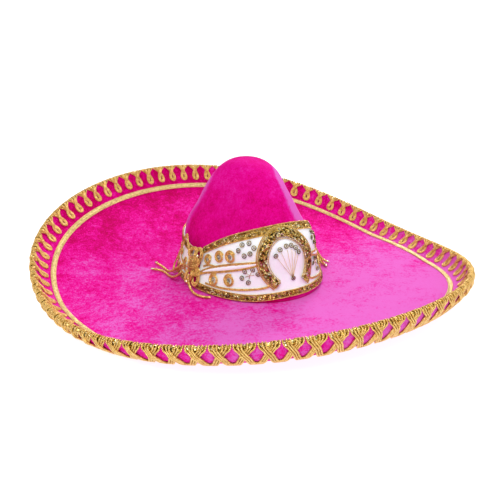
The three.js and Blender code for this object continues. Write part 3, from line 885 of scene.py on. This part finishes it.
class Panel:
    """One panel of the band. Angles on it are degrees off its middle, towards the wearer's left."""

    def __init__(self, name, turn, rise, foot, arch, scale):
        self.name, self.turn, self.rise, self.foot = name, turn, rise, foot
        self.arch, self.scale = arch, scale
        self.fine = 0.5 + 0.5 * scale  # cords thin out less than the ornaments shrink
        self.settled = 45.0 if name == "front" else 0.0  # it comes down onto the brim at the wearer's right
        left = 1 if name == "front" else -1
        self.sides = (("right", -left), ("left", left))

    def top(self, off):
        return BAND_SIDE_H + self.rise * (1 - np.abs(off / 90) ** BAND_SAG)

    def bottom(self, off):
        down = np.clip(off / max(self.settled, 1) + 1, 0, 1)
        return BAND_FOOT + self.foot * (1 - np.abs(off / 90) ** BAND_SAG) * down**2 * (3 - 2 * down)

    def height(self, z):
        return BAND_FOOT + (z - BAND_FOOT) * self.scale

    def at(self, off, z, d):
        """Points d off the crown and the surface's normals."""
        phi = np.radians(self.turn + np.asarray(off, float))
        z = np.broadcast_to(np.asarray(z, float), phi.shape)
        return on_crown(phi, z, d), unit(crown_normal(phi, z))

    def sewn(self, off, z, x, y, d):
        """Points x along and y up the band from a place on it, with the surface's normals."""
        phi0 = math.radians(self.turn + off)
        r = crown_radius(phi0, z) * math.hypot(OVAL_X * math.cos(phi0), OVAL_Y * math.sin(phi0))
        phi = phi0 + np.asarray(x, float) / r
        height = z + np.asarray(y, float)
        return on_crown(phi, height, d), unit(crown_normal(phi, height))


PANELS = [
    Panel("front", turn=-2.5, rise=47.5, foot=4.5, arch=33.0, scale=1.0),
    Panel("back", turn=180.0, rise=12.0, foot=0.0, arch=23.0, scale=0.6),
]


def satin_panel(panel):
    """White satin drawn tight over a stiffener, with faint pulls from the stitching."""
    off = np.linspace(-PANEL_END - 1.5, PANEL_END + 1.5, 170)
    share = np.linspace(0, 1, 34)[:, None]
    foot = panel.bottom(off)
    z = foot + (panel.top(off) - foot) * share
    phi = np.radians(panel.turn + off)
    pull = 0.16 * np.sin(off / 2.9 + 5 * share**2) + 0.12 * np.sin(off / 1.3 - 14 * share)
    parts = Parts()
    parts.slab(on_crown(phi, z, 2.1 + pull), on_crown(phi, z, 0.8), flip=False)
    name = f"{panel.name}_band_panel"
    parts.make(name, SATIN, stands_for=name, slot="satin")


def disc(parts, centre, normal, radius, lean, spin, cup=0.22, sides=8):
    """A cupped sequin with a hole, tipped by lean radians towards spin."""
    a, b = span(normal)
    tip = a * math.cos(spin) + b * math.sin(spin)
    n = unit(normal * math.cos(lean) + tip * math.sin(lean))
    a = unit(np.cross(n, b))
    b = np.cross(n, a)
    turn = np.arange(sides) / sides * TAU
    ring = a * np.cos(turn)[:, None] + b * np.sin(turn)[:, None]
    profile = [(0.2, 0.0), (1.0, cup), (1.02, cup + 0.12), (0.2, 0.14)]
    grid = np.stack([centre + ring * r * radius + n * h * radius for r, h in profile])
    parts.grid(grid, wrap_rows=True, wrap_columns=True)


def scatter_row(parts, line, normals, step, radius, wander):
    """A row of overlapping sequins sewn on at uneven angles."""
    path, normal = resample(line, normals, step)
    for p, n, a in zip(path, normal, directions(path, normal)[1]):
        shift = a * rng.uniform(-wander, wander) + n * rng.uniform(0, 0.35)
        size, tilt, turn = radius * rng.uniform(0.85, 1.1), rng.uniform(0.1, 0.75), rng.uniform(0, TAU)
        disc(parts, p + shift, n, size, tilt, turn)


def edge_braid(panel, which):
    """Gimp along the band's edge: a fine rope on each side and tiny sequins crowded between."""
    off = np.linspace(-PANEL_END - 1.2, PANEL_END + 1.2, 460)
    if which == "top":
        low, high = panel.top(off) - BRAID_W + 0.4, panel.top(off) + 0.6
    else:
        low, high = panel.bottom(off), panel.bottom(off) + BRAID_W - 1.2
    parts = Parts()
    for z in (low, high):
        rope(parts, *panel.at(off, z, CORD_D), 0.85, 3.2)
    rows = []
    for share, d in ((0.06, 2.4), (0.06, THREAD_D), (0.94, THREAD_D), (0.94, 2.4)):
        rows.append(panel.at(off, low + (high - low) * share, d)[0])
    parts.grid(np.stack(rows), wrap_rows=True)
    name = f"{panel.name}_band_{which}_braid"
    parts.make(name, CORD_GOLD, stands_for=name, slot="gold_braid")
    shiny = Parts()
    for share in (0.24, 0.5, 0.76):
        scatter_row(shiny, *panel.at(off, low + (high - low) * share, CORD_D), 1.75, 1.15, 0.3)
    shiny.make(f"{name}_sequins", SEQUIN_GOLD, slot="gold_sequin")


for panel in PANELS:
    satin_panel(panel)
    for which in ("top", "foot"):
        edge_braid(panel, which)


# ---- Ornaments ----
def horseshoe(panel):
    """A padded arch crowded with sequins, between twisted cords."""
    scale = panel.scale
    z0 = panel.height(49)
    reach = math.radians(140)
    angle = np.linspace(-reach, reach, 110)
    tall = np.where(np.cos(angle) > 0, panel.arch, 36)

    def at(w, d):
        drawn_in = 1 - 0.15 * np.minimum(0, np.cos(angle)) ** 2  # towards the ends of its legs
        lean = -3.5 * (1 + np.cos(angle)) * scale
        x = (30 * scale + w) * np.sin(angle) * drawn_in + lean
        y = (tall * scale + w) * np.cos(angle)
        return panel.sewn(0, z0, x, y, d)

    def bulge(w):
        return 4.4 + 2.0 * math.sqrt(1 - w * w)

    half = 4.6 * scale
    pad = Parts()
    section = np.linspace(-1, 1, 9)
    top = np.stack([at(half * w, bulge(w))[0] for w in section])
    low = np.stack([at(half * w, 2.5)[0] for w in section])
    pad.slab(top, low, flip=True)
    name = f"{panel.name}_horseshoe"
    pad.make(name, SEQUIN_GOLD, stands_for=name, slot="gold_sequin")
    shiny = Parts()
    for w in np.linspace(-0.82, 0.82, 5):
        scatter_row(shiny, *at(half * w, bulge(w) + 0.15), 1.7, 1.2, 0.35)
    shiny.make(f"{name}_sequins", SEQUIN_GOLD, slot="gold_sequin")
    beads = Parts()
    for p, n in zip(*resample(*at(-half - 0.2, 5.0), 1.9)):
        sphere(beads, p, n, 0.95, 7, 5)
    beads.make(f"{name}_beads", SEQUIN_BRIGHT, slot="gold_sequin")
    cords = Parts()
    for w, radius, d in ((half + 0.9, 1.0, 4.4), (half + 2.7, 0.95, 4.0), (-half - 1.7, 0.6, 4.0)):
        rope(cords, *resample(*at(w, d), 0.9), radius * panel.fine, 3.4)
    cords.make(f"{name}_outline", CORD_GOLD, slot="gold_cord")


def couched(parts, line, normals, radius):
    """Soutache: two cords side by side, sewn flat."""
    path, normal = resample(line, normals, 0.9)
    across = directions(path, normal)[1]
    for k in (-1, 1):
        tube(parts, path + across * k * radius * 0.95, normal, radius, 6)


class Spangles:
    """Clear sequins with dark gold rims, each held by a bead."""

    def __init__(self):
        self.rims, self.clear = Parts(), Parts()

    def add(self, panel, off, z, radius, lift=3.3):
        centre, n = panel.sewn(off, z, 0, 0, lift)
        a, b = span(n)
        spin = rng.uniform(0, TAU)
        lean = rng.uniform(0.05, 0.5)
        n = unit(n + (a * math.cos(spin) + b * math.sin(spin)) * math.tan(lean) * 0.6)
        a, b = span(n)
        turn = (np.arange(18) / 18 * TAU)[:, None]
        circle = centre + (a * np.cos(turn) + b * np.sin(turn)) * radius * 0.8 + n * 0.3
        tube(self.rims, circle, n, 0.2 * radius, 6, closed=True)
        disc(self.clear, centre, n, 0.84 * radius, 0.0, 0.0, 0.1, 14)
        sphere(self.rims, centre + n * 0.28 * radius, n, 0.3 * radius, 8, 5)

    def make(self, name, stands_for=()):
        self.rims.make(name, RING_GOLD, stands_for=stands_for, slot="gold_sequin")
        self.clear.make(f"{name}_clear", PEARL, slot="gold_sequin")


def spoke(parts, panel, hub, tip, share, radius, sides):
    """A thread or bead along a share of the way from one place on a panel to another."""
    off, z = (start + (end - start) * share for start, end in zip(hub, tip))
    tube(parts, *panel.at(off, z, THREAD_D), radius, sides)


def fan(panel):
    """Sequins on threads that spread from one bead."""
    scale = panel.scale
    spangles, threads = Spangles(), Parts()
    bead = 1.2, panel.height(27)
    for off, z in ((-13.8, 58), (-9.8, 64.4), (-3.7, 67.4), (1.2, 67.4), (5.2, 64), (8, 58.6)):
        tip = off * (0.55 + 0.45 * scale), panel.height(z)
        spangles.add(panel, *tip, 3.2 * scale)
        spoke(threads, panel, bead, tip, np.linspace(0.06, 0.9, 10), 0.3, 5)
    spangles.add(panel, *bead, 3.0 * scale)
    name = f"{panel.name}_horseshoe_fan"
    spangles.make(name, name)
    threads.make(f"{name}_threads", BRAID_GOLD, slot="gold_cord")


def rosettes(panel, side, hand):
    """A ring of sequins over the leaf, and one under it with bugle beads out from its middle."""
    bugles = Parts()
    over = (41.2, 68), (35.2, 71), (31.2, 66.5), (44.2, 61.2), (39.2, 56.5), (34.5, 59.8)
    under = (38.8, 37), (32.5, 40.4), (28.4, 35), (41, 28.5), (36, 24)
    for which, middle, radius, ring in (("upper", 38.0, 3.3, over), ("lower", 35.0, 3.2, under)):
        spangles = Spangles()
        hub = hand * middle, panel.height(32.5)
        for off, z in ring:
            tip = hand * (middle + (off - middle) * (0.7 + 0.3 * panel.scale)), panel.height(z)
            spangles.add(panel, *tip, radius * panel.scale)
            if which == "lower":
                spoke(bugles, panel, hub, tip, np.linspace(0.0, 0.55, 6), 0.5 * panel.scale, 6)
        name = f"{panel.name}_{side}_{which}_rosette"
        spangles.make(name, name)
    bugles.make(f"{name}_bugles", SEQUIN_BRIGHT, slot="gold_sequin")


def curl(panel, hand, off, z, radius, start):
    """A soutache curl, drawn in from its outside, that starts at an angle round it."""
    a = np.linspace(0, TAU * 1.6, 48)
    r = radius * (1 - 0.45 * a / a[-1]) * panel.scale
    x, y = -hand * r * np.cos(a + start), r * np.sin(a + start)
    return panel.sewn(hand * off, panel.height(z), x, y, CORD_D + 0.9 * a / a[-1])


def scrolls(panel, side, hand):
    """Curls of soutache on their stems, with a sequin in each."""
    spangles, upper, lower = Spangles(), Parts(), Parts()
    fine = panel.fine
    for parts, off, z, radius, start in (
        (upper, 51.5, 51.4, 6.9, 0.6),
        (upper, 62.5, 47.4, 6.6, 0.6),
        (upper, 74.5, 39.4, 5.6, 0.6),
        (lower, 51.5, 22.6, 6.9, 1.2),
        (lower, 65, 18.6, 6.9, 1.2),
    ):
        couched(parts, *curl(panel, hand, off, z, radius, start), 0.85 * fine)
        spangles.add(panel, hand * off, panel.height(z), 2.5 * panel.scale, 4.2)
    # The stem that the upper curls grow from waves along the top of the leaf.
    off = np.linspace(44, 78, 34)
    wave = 43.6 - 0.42 * (off - 44) + 1.6 * np.sin((off - 44) / 34 * TAU * 1.5)
    couched(upper, *panel.at(hand * off, panel.height(wave), CORD_D), 0.7 * fine)
    name = f"{panel.name}_{side}_upper_scroll"
    upper.make(name, CORD_GOLD, stands_for=name, slot="gold_cord")
    # The frame runs under the lower curls and turns up beside the horseshoe's leg.
    frame_line = smooth_line(
        [(72, 11.6), (60, 11.8), (50, 12.8), (36.5, 15.2), (24.2, 18.2), (20.4, 20.2), (19, 25), (22.5, 32)]
    )
    off = hand * frame_line[:, 0]
    frame_z = np.maximum(panel.height(frame_line[:, 1]), panel.bottom(off) + BRAID_W)
    couched(lower, *panel.at(off, frame_z, CORD_D), 0.72 * fine)
    name = f"{panel.name}_{side}_lower_scroll"
    lower.make(name, CORD_GOLD, stands_for=name, slot="gold_cord")
    spangles.make(f"{panel.name}_{side}_scroll_sequins")


def leaf(panel, side, hand):
    """A padded satin leaf between two lines of cord."""
    off = np.linspace(79, 26.5, 64)
    share = (79 - off) / (79 - 26.5)
    middle = 20.5 + 28.5 * share**0.76
    half = 0.5 + 3.4 * np.sin(math.pi * np.clip(share * 0.86 + 0.06, 0, 1)) ** 0.8
    cords, pad = Parts(), Parts()
    for k in (-1, 1):
        couched(cords, *panel.at(hand * off, panel.height(middle + k * half), 3.3), 0.75 * panel.fine)
    inner = slice(3, -3)
    section = [(w, 2.5 + 1.7 * math.sqrt(1 - w * w)) for w in np.linspace(-1, 1, 9)] + [(1, 2.3), (-1, 2.3)]
    rows = []
    for w, d in section:
        z = panel.height(middle + w * (half - 0.7))
        rows.append(panel.at(hand * off[inner], z[inner], d)[0])
    pad.grid(np.stack(rows), wrap_rows=True)
    name = f"{panel.name}_{side}_leaf"
    cords.make(name, CORD_GOLD, stands_for=name, slot="gold_cord")
    pad.make(f"{name}_padding", SATIN, slot="satin")


for panel in PANELS:
    horseshoe(panel)
    fan(panel)
    for side, hand in panel.sides:
        rosettes(panel, side, hand)
        scrolls(panel, side, hand)
        leaf(panel, side, hand)


# ---- Side knots ----
KNOT_Z = 27.0


def knot(side, hand):
    """A flat sewn knot of gold cord: crossing bights over a wrapped middle, a bow and beads. The left one is
    the right one turned half round, so on both x runs the same way round the hat."""
    parts = Parts()
    place = Panel(side, 90.0 * hand, 0, 0, 0, 1)

    # Each bight is a loop of two cords side by side: its middle, half width and height, lean, lift and weave.
    for x0, y0, wide, tall, lean, lift, weave in (
        (6.0, 13.5, 8.0, 9.0, -0.3, 6.2, 1.3),
        (-3.0, 12.0, 8.0, 9.5, 0.45, 8.2, -1.3),
        (2.0, 3.0, 11.0, 6.5, 0.25, 8.8, 1.2),
        (4.0, -5.0, 11.5, 6.0, -0.45, 6.6, -1.2),
        (9.0, -14.0, 7.0, 9.0, 0.5, 6.0, 1.2),
        (0.0, -14.0, 6.5, 9.5, -0.35, 8.4, 1.1),
    ):
        a = np.linspace(0, TAU, 60, endpoint=False)
        for inset in (0.0, 2.5):
            x, y = (wide - inset) * np.sin(a) * (1 + 0.25 * np.cos(a)), (tall - inset) * np.cos(a)
            x, y = x * math.cos(lean) - y * math.sin(lean), x * math.sin(lean) + y * math.cos(lean)
            line, normal = place.sewn(0, KNOT_Z, x0 + x, y0 + y, lift + weave * np.sin(2 * a + lean))
            rope(parts, line, normal, 1.6, 5.0, sides=6, closed=True)
    for y in np.linspace(-4.5, 5.5, 5):
        a = np.linspace(-1.35, 1.35, 16)
        line, normal = place.sewn(0, KNOT_Z, 2 + 7.2 * np.sin(a), y + 1.6 * np.sin(a), 6.0 + 6.4 * np.cos(a))
        rope(parts, line, normal, 1.35, 4.0)
    # The bow stands up behind the knot, along the end of the band's other panel.
    bow = smooth_line([
        (-5, 3, 8.5), (-13, 13, 7.6), (-23, 25, 6.4), (-29.5, 31.5, 5.6), (-33, 29, 5.8), (-36, 19, 7),
        (-39, 6, 8.6), (-41, -7, 10), (-41, -17, 11.5), (-37, -22, 12.2), (-29, -20, 11), (-17, -12, 9.6),
        (-6, -4, 8.6),
    ], 5)
    for inset in (0.0, 2.6):
        to_middle = unit(bow[:, :2] - [-27, 2]) * inset
        line, normal = place.sewn(0, KNOT_Z, *(bow[:, :2] - to_middle).T, bow[:, 2])
        rope(parts, line, normal, 1.3, 5.0, sides=6)
    parts.make(f"{side}_knot", CORD_GOLD, stands_for=f"{side}_knot", slot="gold_cord")
    beads = Parts()
    for x, y, d, radius in ((-3.0, -22.0, 7.5, 2.3), (7.0, 13.0, 8.4, 2.0), (-3.0, 11.0, 10.6, 2.0)):
        sphere(beads, *place.sewn(0, KNOT_Z, x, y, d), radius, 12, 8)
    beads.make(f"{side}_knot_beads", SEQUIN_BRIGHT, slot="gold_sequin")


for side, hand in (("left", 1), ("right", -1)):
    knot(side, hand)

# ---- Studio ----
floor_mesh = bpy.data.meshes.new("floor")
floor_mesh.from_pydata([(-9, -9, 0), (9, -9, 0), (9, 9, 0), (-9, 9, 0)], [], [(0, 1, 2, 3)])
paper = Shader("paper", Roughness=0.9, Emission_Color=(1, 1, 1, 1), Emission_Strength=0.9)
tone = paper.colours(paper.noise(3, 2), (0.3, rgb(158, 158, 159)), (0.7, rgb(162, 162, 162)))
floor_mesh.materials.append(paper.set(Base_Color=tone))
floor = put("floor", floor_mesh)
floor.location.z = -0.0003

world = bpy.data.worlds.new("studio")
bpy.context.scene.world = world
world.use_nodes = True
sky = world.node_tree
height = sky.nodes.new("ShaderNodeSeparateXYZ")
sky.links.new(sky.nodes.new("ShaderNodeTexCoord").outputs["Generated"], height.inputs[0])
ramp = sky.nodes.new("ShaderNodeValToRGB")
# Brightness from the bottom of the world (0) to the top (1).
SKY = ((0.0, 0.2), (0.3, 0.38), (0.62, 1.0), (1.0, 1.25))
fill_ramp(ramp, [(position, (level, level, level * 1.01, 1)) for position, level in SKY])
sky.links.new(height.outputs["Z"], ramp.inputs["Fac"])
sky.links.new(ramp.outputs["Color"], sky.nodes["Background"].inputs["Color"])
sky.nodes["Background"].inputs["Strength"].default_value = 0.75


def softbox(name, place, size, power):
    light = bpy.data.lights.new(name, "AREA")
    light.shape, light.size, light.energy = "DISK", size, power
    made = put(name, light)
    made.location = place
    made.rotation_euler = (Vector(place) - TARGET).to_track_quat("Z", "Y").to_euler()


softbox("key", (-1.3, -1.5, 2.2), 1.0, 30)
softbox("fill", (1.6, -1.4, 1.2), 1.2, 8)
softbox("rim", (1.5, 1.3, 1.3), 0.8, 22)
bpy.context.scene.view_settings.view_transform = "Standard"
